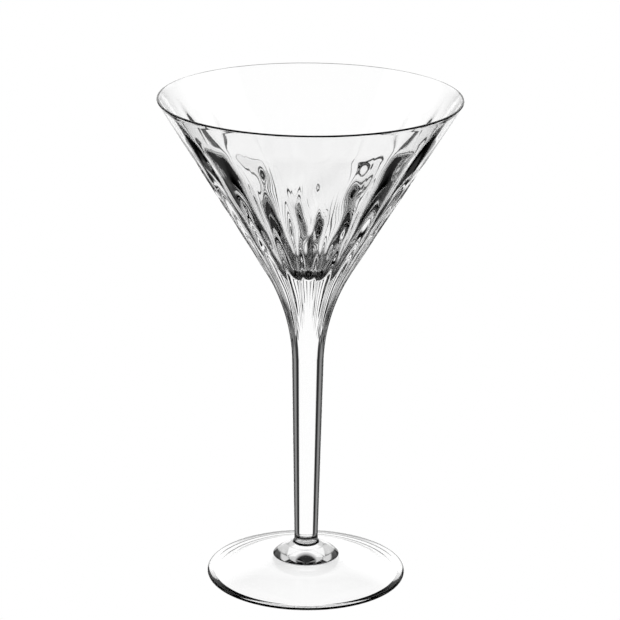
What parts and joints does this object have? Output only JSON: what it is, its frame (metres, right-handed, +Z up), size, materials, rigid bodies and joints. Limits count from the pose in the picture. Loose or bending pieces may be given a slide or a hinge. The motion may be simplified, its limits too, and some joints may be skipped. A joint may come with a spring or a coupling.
{
  "type": "martini glass",
  "caption": "Stemmed cocktail glass with a wide fluted cone bowl, a tapered solid stem and a round foot, for serving short drinks.",
  "frame": {"origin": "centre of the foot on the plane it stands on", "axes": "+Z up along the stem towards the rim; a flute faces -Y and another faces +X"},
  "size_m": [0.105, 0.105, 0.175],
  "materials": {
    "bowl_glass": "clear, fire-polished",
    "stem_glass": "clear, fire-polished",
    "foot_glass": "clear, fire-polished"
  },
  "bodies": {
    "root": {"bowl": "bowl_glass", "stem": "stem_glass", "foot": "foot_glass"}
  },
  "joints": []
}
